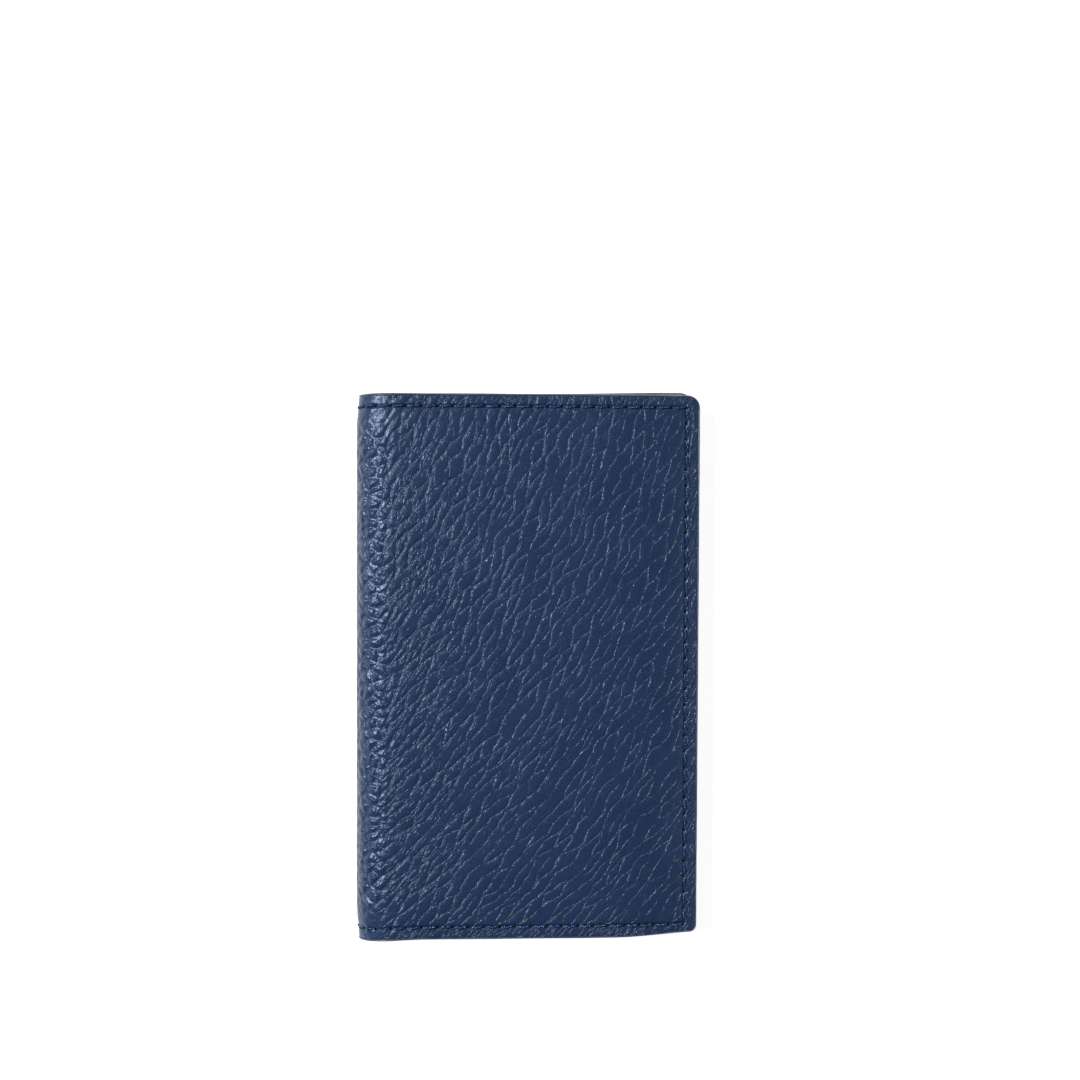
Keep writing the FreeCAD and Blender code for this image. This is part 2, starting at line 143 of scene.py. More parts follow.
ARC_START_SLOPE = 0.72 * COVER_TILT  # fall of the front cover where the fold ends
END_BEND = 1.6 * COVER_TILT  # what the fall gains towards the free edge
CROWN_START = 0.6  # share of the cover that stays nearly straight
SHOULDER_START = 0.62  # share of the front's turn made at the full curve
SHOULDER_REACH = 1.15  # length of the shoulder, in quarter turns
SHOULDER_TIGHTNESS = 0.98
COVER_LENGTH = FREE_X - SPINE_X
BACK_SKEW = 0.88 * MM  # the covers don't lie quite square on each other
FRONT_SKEW = -0.15 * MM
FRONT_LEAN = 0.42 * MM  # the front is wider at the top than at the bottom
FRONT_SHORT = 0.15 * MM  # its free edge lies this much inside the CAD's
BACK_SHORT = 0.35 * MM  # and the back's lies inside the front's
PINCH = 0.45 * MM  # the seams pull the ends of the spine in
PINCH_REACH = 7 * MM
TAIL_DROOP = 0.75 * MM  # the spine's tail stands a little lower than the covers
DROOP_REACH = 18 * MM


def smooth(value, low, high):
    """Smooth step from 0 at low to 1 at high."""
    t = np.clip((value - low) / (high - low), 0, 1)
    return t * t * (3 - 2 * t)


def rolled_profile():
    """Table of s, x, z and the direction of travel along the closed holder's outer face.

    The back half of the fold is a quarter circle. The front half starts as one and straightens
    out slowly over the shoulder, then the cover falls gently and steeper towards its free edge.
    """
    step = 0.05 * MM
    quarter = SPINE_RADIUS * math.pi / 2
    s = np.arange(-quarter - COVER_LENGTH - 2 * MM, quarter + COVER_LENGTH + 2 * MM, step)
    turned = s / (SHOULDER_TIGHTNESS * quarter)
    shoulder = np.clip((turned - SHOULDER_START) / SHOULDER_REACH, 0, 1)
    left = 1 - SHOULDER_START
    eased = SHOULDER_START + left * (1 - (1 - shoulder) ** (SHOULDER_REACH / left))
    turned = np.where(turned > SHOULDER_START, eased, turned)
    share = (s - quarter) / COVER_LENGTH
    slope = ARC_START_SLOPE + END_BEND * smooth(share, CROWN_START, 1.0)
    direction = np.where(s < 0, np.minimum(math.pi / 2 - s / SPINE_RADIUS, math.pi),
                         math.pi / 2 - (math.pi / 2 + slope) * turned)
    middle = (direction[:-1] + direction[1:]) / 2
    x = np.concatenate([[0], np.cumsum(np.cos(middle) * step)])
    z = np.concatenate([[0], np.cumsum(np.sin(middle) * step)])
    x += SPINE_X - np.interp(-quarter, s, x)
    z -= np.interp(-quarter, s, z)
    return s, x, z, direction, quarter


PROFILE_S, PROFILE_X, PROFILE_Z, PROFILE_DIRECTION, HALF_ARC = rolled_profile()


def s_where(x, side):
    """Unrolled distance of the front (side 1) or back (side -1) cover at x."""
    on_side = PROFILE_S * side > HALF_ARC
    order = np.argsort(PROFILE_X[on_side])
    return float(np.interp(x, PROFILE_X[on_side][order], PROFILE_S[on_side][order]))


U_END = {side: abs(s_where(FREE_X, side)) for side in (1, -1)}
CUT_END = {side: end - PAINT_THICKNESS for side, end in U_END.items()}


def cover_share(s):
    """0 on the fold, rising to 1 at the free edge of either cover."""
    return np.clip((np.abs(s) - HALF_ARC) / COVER_LENGTH, 0, 1)


def place(s, y, depth):
    """Points of the closed holder for arrays of s, y and depth."""
    direction = np.interp(s, PROFILE_S, PROFILE_DIRECTION)
    fold = 1 - smooth(np.abs(s), 0.6 * HALF_ARC, 1.25 * HALF_ARC)
    ends = smooth(np.abs(y), HALF_HEIGHT - PINCH_REACH, HALF_HEIGHT)
    depth = depth + PINCH * fold * ends
    x = np.interp(s, PROFILE_S, PROFILE_X) + np.sin(direction) * depth
    z = np.interp(s, PROFILE_S, PROFILE_Z) - np.cos(direction) * depth
    share = cover_share(s)
    skew = np.where(s < 0, BACK_SKEW * smooth(share, 0.1, 0.85), FRONT_SKEW * share)
    droop = TAIL_DROOP * (1 - smooth(s, 0, DROOP_REACH)) * smooth(-y, 0.7 * HALF_HEIGHT, HALF_HEIGHT)
    lean = FRONT_LEAN * (y / HALF_HEIGHT) - FRONT_SHORT
    x = x + np.where(s < 0, -BACK_SHORT, lean) * share ** 3
    return np.stack([x, y + skew - droop, z], axis=-1)



# ------------ node graphs

class Graph:
    """Short way to write the nodes that materials and relief share."""

    def __init__(self, tree):
        self.tree = tree

    def feed(self, node, inputs):
        """Links sockets to a node's inputs, or sets them to constant values."""
        for name, given in inputs.items():
            socket = node.inputs[name]
            if isinstance(given, bpy.types.NodeSocket):
                self.tree.links.new(given, socket)
            else:
                socket.default_value = given

    def add(self, kind, inputs=None, **settings):
        """New node with its settings made and its inputs fed."""
        node = self.tree.nodes.new(kind)
        for name, setting in settings.items():
            setattr(node, name, setting)
        self.feed(node, inputs or {})
        return node

    def math(self, operation, a, b=0.0, clamp=False):
        """Result of one operation on two numbers."""
        return self.add("ShaderNodeMath", {0: a, 1: b}, operation=operation,
                        use_clamp=clamp).outputs[0]

    def plus(self, total, *others):
        """Sum of sockets and numbers."""
        for other in others:
            total = self.math("ADD", total, other)
        return total

    def times(self, product, *others):
        """Product of sockets and numbers."""
        for other in others:
            product = self.math("MULTIPLY", product, other)
        return product

    def vector(self, operation, a, b=(0, 0, 0), output=0):
        """Result of one operation on two vectors."""
        return self.add("ShaderNodeVectorMath", {0: a, 1: b}, operation=operation).outputs[output]

    def scaled(self, place, factors):
        """Place multiplied along each axis."""
        return self.vector("MULTIPLY", place, factors)

    def in_cells(self, place, size):
        """Place counted in cells of a size across and along."""
        return self.scaled(place, (1 / size[0], 1 / size[1], 1))

    def parts(self, place):
        """The first two parts of a place."""
        return self.add("ShaderNodeSeparateXYZ", {0: place}).outputs[:2]

    def ramp(self, value, low, high, start=0.0, end=1.0, kind="SMOOTHSTEP"):
        """Value carried from low..high to start..end."""
        return self.add("ShaderNodeMapRange", {"Value": value, "From Min": low, "From Max": high,
                                               "To Min": start, "To Max": end},
                        interpolation_type=kind).outputs[0]

    def noise(self, place, size, detail=2.0, colour=False):
        """Noise whose features are about size across, in the units of place."""
        node = self.add("ShaderNodeTexNoise", {"Vector": place, "Scale": 1 / size,
                                               "Detail": detail})
        return node.outputs["Color" if colour else 0]

    def wander(self, place, size, reach):
        """Place shifted by a slow random wander."""
        shift = self.vector("SUBTRACT", self.noise(place, size, colour=True), (0.5, 0.5, 0.5))
        return self.vector("ADD", place, self.scaled(shift, (reach * 2, reach * 2, 0)))

    def turned(self, place, angle, centre=(0, 0, 0)):
        """Place turned in its plane."""
        return self.add("ShaderNodeVectorRotate",
                        {"Vector": place, "Center": centre, "Angle": angle},
                        rotation_type="Z_AXIS").outputs[0]

    def voronoi(self, place, feature, randomness, output):
        """Output of a pattern of irregular cells about 1 across."""
        return self.add("ShaderNodeTexVoronoi",
                        {"Vector": place, "Scale": 1.0, "Randomness": randomness},
                        voronoi_dimensions="2D", feature=feature).outputs[output]

    def cells(self, place, randomness=1.0):
        """Distance to the edge of irregular cells about 1 across."""
        return self.voronoi(place, "DISTANCE_TO_EDGE", randomness, 0)

    def edge_turn(self, place, randomness, across):
        """How squarely the nearest cell edge faces the direction across: 1 square on, 0 along."""
        centres = [self.voronoi(place, feature, randomness, "Position") for feature in ("F1", "F2")]
        way = self.vector("NORMALIZE", self.vector("SUBTRACT", *centres))
        return self.math("ABSOLUTE", self.vector("DOT_PRODUCT", way, across, "Value"))

    def mix(self, factor, a, b):
        """Colour between a (factor 0) and b (factor 1)."""
        return self.add("ShaderNodeMix", {0: factor, 6: a, 7: b}, data_type="RGBA").outputs[2]

    def blend(self, factor, a, b):
        """Number between a (factor 0) and b (factor 1)."""
        return self.add("ShaderNodeMix", {0: factor, 2: a, 3: b}, data_type="FLOAT").outputs[0]


# The grain's places, sizes and heights are in mm.
CREASE_CENTRE = (40.0, 0.0, 0.0)  # where the creases have the lean that is given
CREASE_LEAN = (math.radians(-50), math.radians(-62))  # at the tail and at the head
DIAMOND = (5.3, 1.8)  # cell between long creases, along and across them
DIAMOND_RANDOMNESS = 0.65
FINE_CELL = (2.3, 0.85)
PEBBLE = (2.7, 2.1)  # lump of the spine, round it and along it
BEAD = (0.9, 0.7)  # smaller lump on the pebbles
LONG_DEPTH = 0.15
LONG_DEPTH_NEAR_FOLD = 0.05  # what that gains beside the spine
FINE_DEPTH = 0.02
GATHERED_DEPTH = 0.04  # what that gains beside the spine
HEM_DEPTH = 0.09  # and outside the seam
PEBBLE_HEIGHT = 0.17
BEAD_HEIGHT = 0.04
SLOW_HEIGHT = 0.15  # of the gentle waves under the grain


def hide_relief(graph, place_mm, crease):
    """Height in mm and crease mask of tumbled leather, for a place on the hide in mm.

    Long creases run up and to the right across both covers, steeper towards the top. Over the
    spine the hide gathers into round pebbles. crease is the half width of a crease in mm.
    """
    s, y = graph.parts(place_mm)
    from_fold = graph.math("ABSOLUTE", s)
    from_middle = graph.math("ABSOLUTE", y)
    pebbled = graph.ramp(from_fold, 6.5, 13.0, 1.0, 0.0)
    near_fold = graph.ramp(from_fold, 12.0, 48.0, 1.0, 0.0, "LINEAR")
    worn = graph.ramp(from_fold, 62.0, 71.0, 1.0, 0.75)
    hem = graph.math("MAXIMUM", graph.ramp(from_middle, 52.5, 53.3),
                     graph.ramp(from_fold, 70.4, 71.2))
    loose = graph.ramp(from_middle, 44.0, 51.0, 1.0, 0.1)

    warped = graph.wander(graph.wander(place_mm, 11.0, 1.7), 1.4, 0.36)
    lean = graph.ramp(y, -55.0, 55.0, *CREASE_LEAN, "LINEAR")
    leaning = graph.turned(warped, lean, CREASE_CENTRE)
    diamonds = graph.turned(graph.in_cells(leaning, DIAMOND), math.pi / 4)
    across = (-math.sqrt(0.5), math.sqrt(0.5), 0)
    lengthwise = graph.ramp(graph.edge_turn(diamonds, DIAMOND_RANDOMNESS, across), 0.45, 0.72)
    patchy = graph.ramp(graph.noise(leaning, 3.4, 3.0), 0.34, 0.52, 0.2, 1.0)
    spotty = graph.ramp(graph.noise(place_mm, 2.4), 0.42, 0.62, 0.1, 1.0)
    broken = graph.ramp(graph.noise(place_mm, 0.75), 0.38, 0.58, 0.2, 1.4)
    widened = graph.plus(1.0, graph.times(near_fold, 0.5))
    from_long = graph.math("DIVIDE", graph.cells(diamonds, DIAMOND_RANDOMNESS), widened)
    from_fine = graph.cells(graph.in_cells(leaning, FINE_CELL))
    long_crease = graph.times(graph.ramp(from_long, 0, crease / 1.65, 1.0, 0.0),
                              patchy, broken, lengthwise)
    fine_crease = graph.times(graph.ramp(from_fine, 0, crease / 1.1, 1.0, 0.0), spotty)

    gathered = graph.times(graph.ramp(from_fold, 9.0, 28.0, GATHERED_DEPTH, 0.0, "LINEAR"), loose)
    fine_depth = graph.plus(gathered, FINE_DEPTH, graph.times(hem, HEM_DEPTH))
    long_depth = graph.plus(-LONG_DEPTH, graph.times(near_fold, -LONG_DEPTH_NEAR_FOLD))
    flat_height = graph.plus(graph.times(long_crease, long_depth),
                             graph.times(fine_crease, graph.times(fine_depth, -1.0)))
    flat_height = graph.times(flat_height, graph.math("MAXIMUM", worn, hem))

    pebble_place = graph.wander(place_mm, 3.0, 0.6)
    pebble = graph.ramp(graph.cells(graph.in_cells(pebble_place, PEBBLE)), 0, 0.42)
    bead = graph.ramp(graph.cells(graph.in_cells(pebble_place, BEAD)), 0, 0.5)
    fold_height = graph.plus(graph.times(pebble, PEBBLE_HEIGHT), graph.times(bead, BEAD_HEIGHT))
    fold_height = graph.times(fold_height, graph.ramp(from_fold, 1.0, 5.0, 0.4, 1.0),
                              graph.math("ADD", loose, 0.2, clamp=True))

    slow = graph.times(graph.noise(place_mm, 11.0), SLOW_HEIGHT)
    height = graph.plus(graph.blend(pebbled, flat_height, fold_height), slow)
    # The crease mask also drives the painted highlight that cover_leather lays on the creases and
    # the hem.
    flat_crease = graph.times(long_crease, graph.math("SUBTRACT", 1.0, pebbled))
    hem_crease = graph.times(fine_crease, graph.times(hem, 0.7))
    return height, graph.math("MAXIMUM", flat_crease, hem_crease)


def hide_height(graph, place_mm, crease):
    """Height in mm of tumbled leather, without the mask."""
    return hide_relief(graph, place_mm, crease)[0]


def pocket_height(graph, place_mm, crease):
    """Height in mm of the finer leather of the pockets."""
    grain = graph.cells(graph.in_cells(graph.wander(place_mm, 4.0, 0.8), (1.1, 0.9)))
    height = graph.times(graph.ramp(grain, 0, crease), 0.03)
    return graph.plus(height, graph.times(graph.noise(place_mm, 9.0), 0.10))


def new_object(name, data):
    """Object that is in the scene."""
    new = bpy.data.objects.new(name, data)
    bpy.context.scene.collection.objects.link(new)
    return new


def relief_at(relief, s, y, crease):
    """Relief in metres at arrays of s and y, worked out by the node graph that shaders use."""
    spots = np.stack([s.ravel(), y.ravel(), np.zeros(s.size)], axis=1)
    mesh = bpy.data.meshes.new("relief_samples")
    mesh.vertices.add(len(spots))
    mesh.vertices.foreach_set("co", spots.astype(np.float32).ravel())
    carrier = new_object("relief_samples", mesh)
    tree = bpy.data.node_groups.new("relief_samples", "GeometryNodeTree")
    for in_out in ("INPUT", "OUTPUT"):
        tree.interface.new_socket("Geometry", in_out=in_out, socket_type="NodeSocketGeometry")
    graph = Graph(tree)
    source = graph.add("NodeGroupInput")
    position = graph.add("GeometryNodeInputPosition").outputs[0]
    height = relief(graph, graph.scaled(position, (1 / MM, 1 / MM, 0)), crease)
    offset = graph.add("ShaderNodeCombineXYZ", {2: graph.times(height, MM)}).outputs[0]
    moved = graph.add("GeometryNodeSetPosition", {"Geometry": source.outputs[0], "Offset": offset})
    graph.add("NodeGroupOutput", {0: moved.outputs[0]})
    carrier.modifiers.new("relief", "NODES").node_group = tree
    evaluated = carrier.evaluated_get(bpy.context.evaluated_depsgraph_get())
    result = np.empty(len(spots) * 3, np.float32)
    evaluated.data.vertices.foreach_get("co", result)
    bpy.data.objects.remove(carrier)
    bpy.data.meshes.remove(mesh)
    bpy.data.node_groups.remove(tree)
    return result[2::3].reshape(s.shape).astype(float)


# ------------ materials

SHINE_TINT = (0.62, 0.76, 1.0, 1)  # the finish of the leather reflects a little blue
THREAD_TINT = (0.42, 0.66, 1.0, 1)


def hide_uv(graph):
    """Place on the hide in metres, from the UV map."""
    return graph.add("ShaderNodeUVMap", uv_map="hide").outputs[0]


def hide_place(graph):
    """Place on the hide in mm, from the UV map."""
    return graph.scaled(hide_uv(graph), (1 / MM, 1 / MM, 0))


def bump(graph, height_mm):
    """Normal of a surface with a height in mm."""
    return graph.add("ShaderNodeBump", {"Strength": 1.0, "Distance": 1.0,
                                        "Height": graph.times(height_mm, MM)}).outputs[0]


def attribute(graph, name):
    """Value that new_piece stored at the points of a mesh."""
    return graph.add("ShaderNodeAttribute", attribute_name=name).outputs["Fac"]


def mottled(graph, pattern, dark, light):
    """Colour that follows a noise between two tones."""
    return graph.mix(graph.ramp(pattern, 0.3, 0.7), dark, light)


# Each of these returns what feeds the inputs of a material's principled shader.

def cover_leather(graph):
    """Navy tumbled hide with creases, pores and needle holes. Painted shade darkens the needle holes
    and the seam groove, and a painted highlight lightens the creases.
    """
    place_mm = hide_place(graph)
    height, crease = hide_relief(graph, place_mm, 0.15)
    pores = graph.noise(place_mm, 0.5, 3.0)
    pore_depth = graph.plus(0.048, graph.times(crease, 0.08))
    height = graph.plus(height, graph.times(pores, pore_depth))

    across = attribute(graph, "seam_across")
    along = attribute(graph, "seam_along")
    hole = graph.plus(graph.math("POWER", graph.math("DIVIDE", across, HOLE_ACROSS), 2.0),
                      graph.math("POWER", graph.math("DIVIDE", along, 0.46), 2.0))
    hole = graph.ramp(hole, 0.6, 1.3, 1.0, 0.0)
    # Painted shade: the hide is darkened along the seam groove, where shade falls.
    pressed = graph.times(graph.ramp(across, 0.25, 0.75, 1.0, 0.0), 0.55)

    colour = mottled(graph, graph.noise(place_mm, 14.0, 4.0), (0.0095, 0.0245, 0.067, 1),
                     (0.0125, 0.029, 0.075, 1))
    filled = graph.times(graph.ramp(pores, 0.4, 0.7), 0.35)
    colour = graph.mix(filled, colour, (0.018, 0.037, 0.084, 1))
    glints = graph.noise(place_mm, 0.4)
    # Painted highlight on the lit walls of the creases and on the hem, partly also the paler wax of
    # pulled-up creases.
    pullup_and_highlight = graph.times(crease, graph.ramp(glints, 0.38, 0.62, 0.25, 1.0))
    colour = graph.mix(pullup_and_highlight, colour, (0.068, 0.092, 0.16, 1))
    colour = graph.mix(pressed, colour, (0.006, 0.012, 0.035, 1))
    # Painted shade: the needle holes are painted near black, the shade that fills them.
    colour = graph.mix(hole, colour, (0.0008, 0.001, 0.002, 1))
    from_fold = graph.math("ABSOLUTE", graph.parts(place_mm)[0])
    roughness = graph.plus(graph.ramp(glints, 0.35, 0.65, 0.07, -0.05),
                           graph.ramp(from_fold, 1.0, 4.0, 0.45, 0.32), graph.times(hole, 0.4))
    return {"Base Color": colour, "Roughness": roughness, "Specular Tint": SHINE_TINT,
            "Specular IOR Level": 0.5, "Normal": bump(graph, height)}


def pocket_leather(graph):
    """Finer, flatter navy leather with a darker painted rim at the cut edges."""
    place_mm = hide_place(graph)
    fine = graph.noise(place_mm, 0.3, 3.0)
    height = graph.plus(pocket_height(graph, place_mm, 0.16), graph.times(fine, 0.012))
    colour = mottled(graph, graph.noise(place_mm, 10.0, 3.0), (0.014, 0.029, 0.067, 1),
                     (0.017, 0.033, 0.076, 1))
    colour = graph.mix(attribute(graph, "rim"), colour, (0.012, 0.014, 0.022, 1))
    return {"Base Color": colour, "Roughness": graph.ramp(fine, 0.3, 0.7, 0.4, 0.55),
            "Specular Tint": SHINE_TINT, "Specular IOR Level": 0.35,
            "Normal": bump(graph, height)}


def lining_cloth(graph):
    """Pale blue-grey twill: threads across, and a diagonal step."""
    s, y = graph.parts(hide_place(graph))
    pitch = 0.32
    warp = graph.math("SINE", graph.times(s, math.tau / pitch))
    twill = graph.math("SINE", graph.times(graph.plus(s, y), math.tau / (2 * pitch)))
    weave = graph.plus(graph.times(warp, 0.5), twill)
    colour = graph.mix(graph.ramp(weave, -1.2, 1.2), (0.23, 0.27, 0.36, 1), (0.41, 0.46, 0.58, 1))
    return {"Base Color": colour, "Roughness": 0.8, "Sheen Weight": 0.25,
            "Normal": bump(graph, graph.times(weave, 0.02))}


def board(graph):
    """Tan fibre board."""
    fibres = graph.noise(hide_place(graph), 0.8, 5.0)
    colour = mottled(graph, fibres, (0.26, 0.22, 0.16, 1), (0.42, 0.36, 0.27, 1))
    return {"Base Color": colour, "Roughness": 0.9,
            "Normal": bump(graph, graph.times(fibres, 0.03))}


def thread(graph):
    """Bonded navy thread, more saturated than the hide. UV runs along and round each ply."""
    fibre = graph.noise(graph.scaled(hide_uv(graph), (900, 9000, 0)), 1.0, 3.0)
    colour = mottled(graph, fibre, (0.003, 0.010, 0.042, 1), (0.020, 0.048, 0.16, 1))
    return {"Base Color": colour, "Roughness": 0.22, "Specular Tint": THREAD_TINT,
            "Specular IOR Level": 1.0, "Normal": bump(graph, graph.times(fibre, 0.02))}


def edge_paint(graph):
    """Hand-laid slate-grey edge paint with a soft shine and fine streaks."""
    streaks = graph.noise(graph.scaled(hide_place(graph), (0.3, 1, 1)), 0.9, 4.0)
    colour = mottled(graph, streaks, (0.030, 0.040, 0.066, 1), (0.064, 0.078, 0.114, 1))
    return {"Base Color": colour, "Roughness": graph.ramp(streaks, 0.3, 0.7, 0.28, 0.42),
            "Normal": bump(graph, graph.times(streaks, 0.02))}


def studio_floor(_):
    """Pale grey that glows a little, like the lit table of a catalogue studio."""
    return {"Base Color": (0.4, 0.4, 0.4, 1), "Roughness": 0.9,
            "Emission Color": (1, 1, 1, 1), "Emission Strength": 0.88}


def new_material(name, inputs):
    """Principled material that a function of its graph feeds."""
    material = bpy.data.materials.new(name)
    material.use_nodes = True
    graph = Graph(material.node_tree)
    graph.feed(material.node_tree.nodes["Principled BSDF"], inputs(graph))
    return material


MATERIALS = {name: new_material(name, inputs) for name, inputs in (
    ("cover_leather", cover_leather), ("pocket_leather", pocket_leather),
    ("lining_cloth", lining_cloth), ("board", board), ("seam_thread", thread),
    ("pocket_thread", thread), ("edge_paint", edge_paint))}

# ------------ meshes

def new_piece(side, name, points, faces, uv, slot, **attributes):
    """Smooth mesh object of one side, with a UV map of unrolled places and values at its points.

    Edges at the start of the UV map are sharp. Two halves meet there in the middle of the fold,
    or a thread starts, and the hidden end faces mustn't shade the faces beside them.
    """
    name = f"{SIDES[side]}_{name}"
    mesh = bpy.data.meshes.new(name)
    mesh.from_pydata(points.tolist(), [], faces, shade_flat=False)
    corners = np.empty(len(mesh.loops), np.int32)
    mesh.loops.foreach_get("vertex_index", corners)
    mesh.uv_layers.new(name="hide").data.foreach_set("uv", uv[corners].astype(np.float32).ravel())
    for key, numbers in attributes.items():
        store = mesh.attributes.new(key, "FLOAT", "POINT")
        store.data.foreach_set("value", numbers.astype(np.float32))
    at_start = np.isclose(uv[:, 0], 0, atol=1e-7)
    edge_ends = np.empty(2 * len(mesh.edges), np.int32)
    mesh.edges.foreach_get("vertices", edge_ends)
    mesh.edges.foreach_set("use_edge_sharp", at_start[edge_ends.reshape(-1, 2)].all(axis=1))
    mesh.materials.append(MATERIALS[slot])
    mesh.update()
    piece = new_object(name, mesh)
    return piece


def four_sided(*corners):
    """Faces from four arrays of point numbers."""
    return np.stack(corners, axis=-1).reshape(-1, 4).tolist()


def long_faces(inside):
    """Inner face of a whole grid, with one long face for each row of cells."""
    faces = []
    last = len(inside) - 2
    for row, (here, after) in enumerate(pairwise(inside)):
        low = here if row == 0 else here[[0, -1]]
        high = after if row == last else after[[0, -1]]
        faces.append([*low.tolist(), *high[::-1].tolist()])
    return faces


# For each side of a grid cell: the step to its neighbour there, and the cell's two corners there.
CELL_SIDES = (((-1, 0), (0, 1), (0, 0)), ((1, 0), (1, 0), (1, 1)),
              ((0, -1), (0, 0), (1, 0)), ((0, 1), (1, 1), (0, 1)))


def side_faces(keep, outside, inside):
    """Faces that close a sheet where a grid cell has no neighbour."""
    rows, columns = keep.shape
    padded = np.pad(keep, 1)
    faces = []
    for (di, dj), a, b in CELL_SIDES:
        neighbour = padded[1 + di:1 + di + rows, 1 + dj:1 + dj + columns]
        i, j = np.nonzero(keep & ~neighbour)
        first = (i + a[0], j + a[1])
        second = (i + b[0], j + b[1])
        faces += four_sided(outside[second], outside[first], inside[first], inside[second])
    return faces


def slab(side, name, grid, outer, inner, slot, keep=None, coarse_inside=False, **attributes):
    """Closed sheet between two depths over a grid of unrolled places, s and y.

    keep marks the grid cells that exist. A coarse inside is for a sheet with all of its cells.
    """
    s, y = grid
    outer = np.broadcast_to(outer, s.shape)
    inner = np.broadcast_to(inner, s.shape)
    if keep is None:
        keep = np.ones((s.shape[0] - 1, s.shape[1] - 1), bool)
    outside = np.arange(s.size).reshape(s.shape)
    inside = outside + s.size
    i, j = np.nonzero(keep)
    faces = four_sided(outside[i, j], outside[i + 1, j], outside[i + 1, j + 1], outside[i, j + 1])
    if coarse_inside:
        faces += long_faces(inside)
    else:
        faces += four_sided(inside[i, j + 1], inside[i + 1, j + 1], inside[i + 1, j], inside[i, j])
    faces += side_faces(keep, outside, inside)
    points = np.concatenate([place(s, y, outer).reshape(-1, 3), place(s, y, inner).reshape(-1, 3)])
    uv = np.tile(np.stack([s.ravel(), y.ravel()], axis=1), (2, 1))
    used = np.zeros(len(points), bool)
    for face in faces:
        used[face] = True
    new_number = np.cumsum(used) - 1
    faces = [new_number[face].tolist() for face in faces]
    doubled = {key: np.tile(numbers.ravel(), 2)[used] for key, numbers in attributes.items()}
    return new_piece(side, name, points[used], faces, uv[used], slot, **doubled)


def lines_between(stops, spacing):
    """Rising grid lines through the stops, evenly spaced between each two."""
    lines = [stops[0]]
    for a, b in pairwise(stops):
        steps = max(1, round((b - a) / spacing))
        lines += list(a + (b - a) * np.arange(1, steps + 1) / steps)
    return np.array(lines)


def edge_lines(stops, steps, spacing, more=()):
    """Rising grid lines through more places and the stops, finer beside each stop."""
    near = {stop + way * step for stop in stops for step in steps for way in (-1, 1)}
    within = {line for line in near if min(stops) <= line <= max(stops)}
    return lines_between(sorted(within.union(more)), spacing)


def grid_over(side, u, y):
    """Grid of s and y over lines of u and y on one half of the hide."""
    return np.meshgrid(np.sort(u * side), y, indexing="ij")


def depth_inside(u, y, u_range, y_range):
    """Distance inwards from the nearest side of a rectangle, negative outside it."""
    return np.minimum.reduce([u - u_range[0], u_range[1] - u, y - y_range[0], y_range[1] - y])


def edge_falloff(distance, reach, drop):
    """Rounding of a face towards a cut edge: drop at the edge, nothing beyond reach."""
    t = np.clip(1 - distance / reach, 0, 1)
    return drop * (1 - np.sqrt(np.clip(1 - t * t, 0, 1)))


def rounded(s, y, side, radii, end, half_height):
    """Carries a grid's square free corners to round ones of the given radii (top, bottom)."""
    u = s * side
    for sign, radius in ((1, radii[0]), (-1, radii[1])):
        a = np.clip((u - (end - radius)) / radius, 0, 1)
        b = np.clip((y * sign - (half_height - radius)) / radius, 0, 1)
        corner = (a > 0) & (b > 0)
        new_u = end - radius + radius * a * np.sqrt(1 - b * b / 2)
        new_y = half_height - radius + radius * b * np.sqrt(1 - a * a / 2)
        u = np.where(corner, new_u, u)
        y = np.where(corner, new_y * sign, y)
    return u * side, y


def cut_radii(side):
    """Radii of the free corners inside the coat of paint, top and bottom."""
    return [radius - PAINT_THICKNESS for radius in CORNER_RADII[side]]


def outline_drift(s, y, side):
    """Places of a cover's hide whose tail is cut a little short near the free corner."""
    near_end = smooth(np.abs(s), U_END[side] - 17 * MM, U_END[side])
    return s, y + 0.8 * MM * near_end * smooth(-y, HALF_HEIGHT - 14 * MM, HALF_HEIGHT)


# ------------ seam path

def uneven_holes(start, end):
    """Needle holes a stitch apart between two places, a little uneven as a hand feeds them."""
    holes = np.linspace(start, end, round((end - start) / STITCH) + 1)
    holes[1:-1] += rng.normal(0, 0.10 * MM, len(holes) - 2)
    return holes


COLUMN_HOLES = uneven_holes(-SEAM_Y, SEAM_Y)
ROW_HOLES = {side: uneven_holes(ROW_START, U_END[side] - SEAM_MARGIN - COLUMN_INSET)
             for side in (1, -1)}


def seam_distances(s, y, side):
    """Distances in mm from the seam line and, along it, from the nearest needle hole."""
    row = ROW_HOLES[side]
    u = np.abs(s)
    from_row = np.abs(np.abs(y) - SEAM_Y) + np.clip(u - row[-1], 0, None) * 10
    from_column = np.abs(u - row[-1]) + np.clip(np.abs(y) - SEAM_Y, 0, None) * 10
    nearest_in_row = np.abs(u[..., None] - row).min(axis=-1)
    nearest_in_column = np.abs(y[..., None] - COLUMN_HOLES).min(axis=-1)
    in_row = from_row < from_column
    across = np.where(in_row, from_row, from_column)
    along = np.where(in_row, nearest_in_row, nearest_in_column)
    return across / MM, along / MM


# ------------ layers


def ride_cover(piece, side):
    """Bakes the place of a piece that crosses the fold between its cover and the middle of the
    spine.
    """
    if side < 0:
        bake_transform(piece)
    else:
        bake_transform(piece)


def stand_for(piece, side, node, spine_node=None):
    """Puts a piece in the place of its cover's CAD node, or of that and one of the spine."""
    if spine_node:
        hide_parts(f"{SIDES[side]}_{node}", spine_node)
        ride_cover(piece, side)
    else:
        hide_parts(f"{SIDES[side]}_{node}")
        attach(piece, f"{SIDES[side]}_cover")


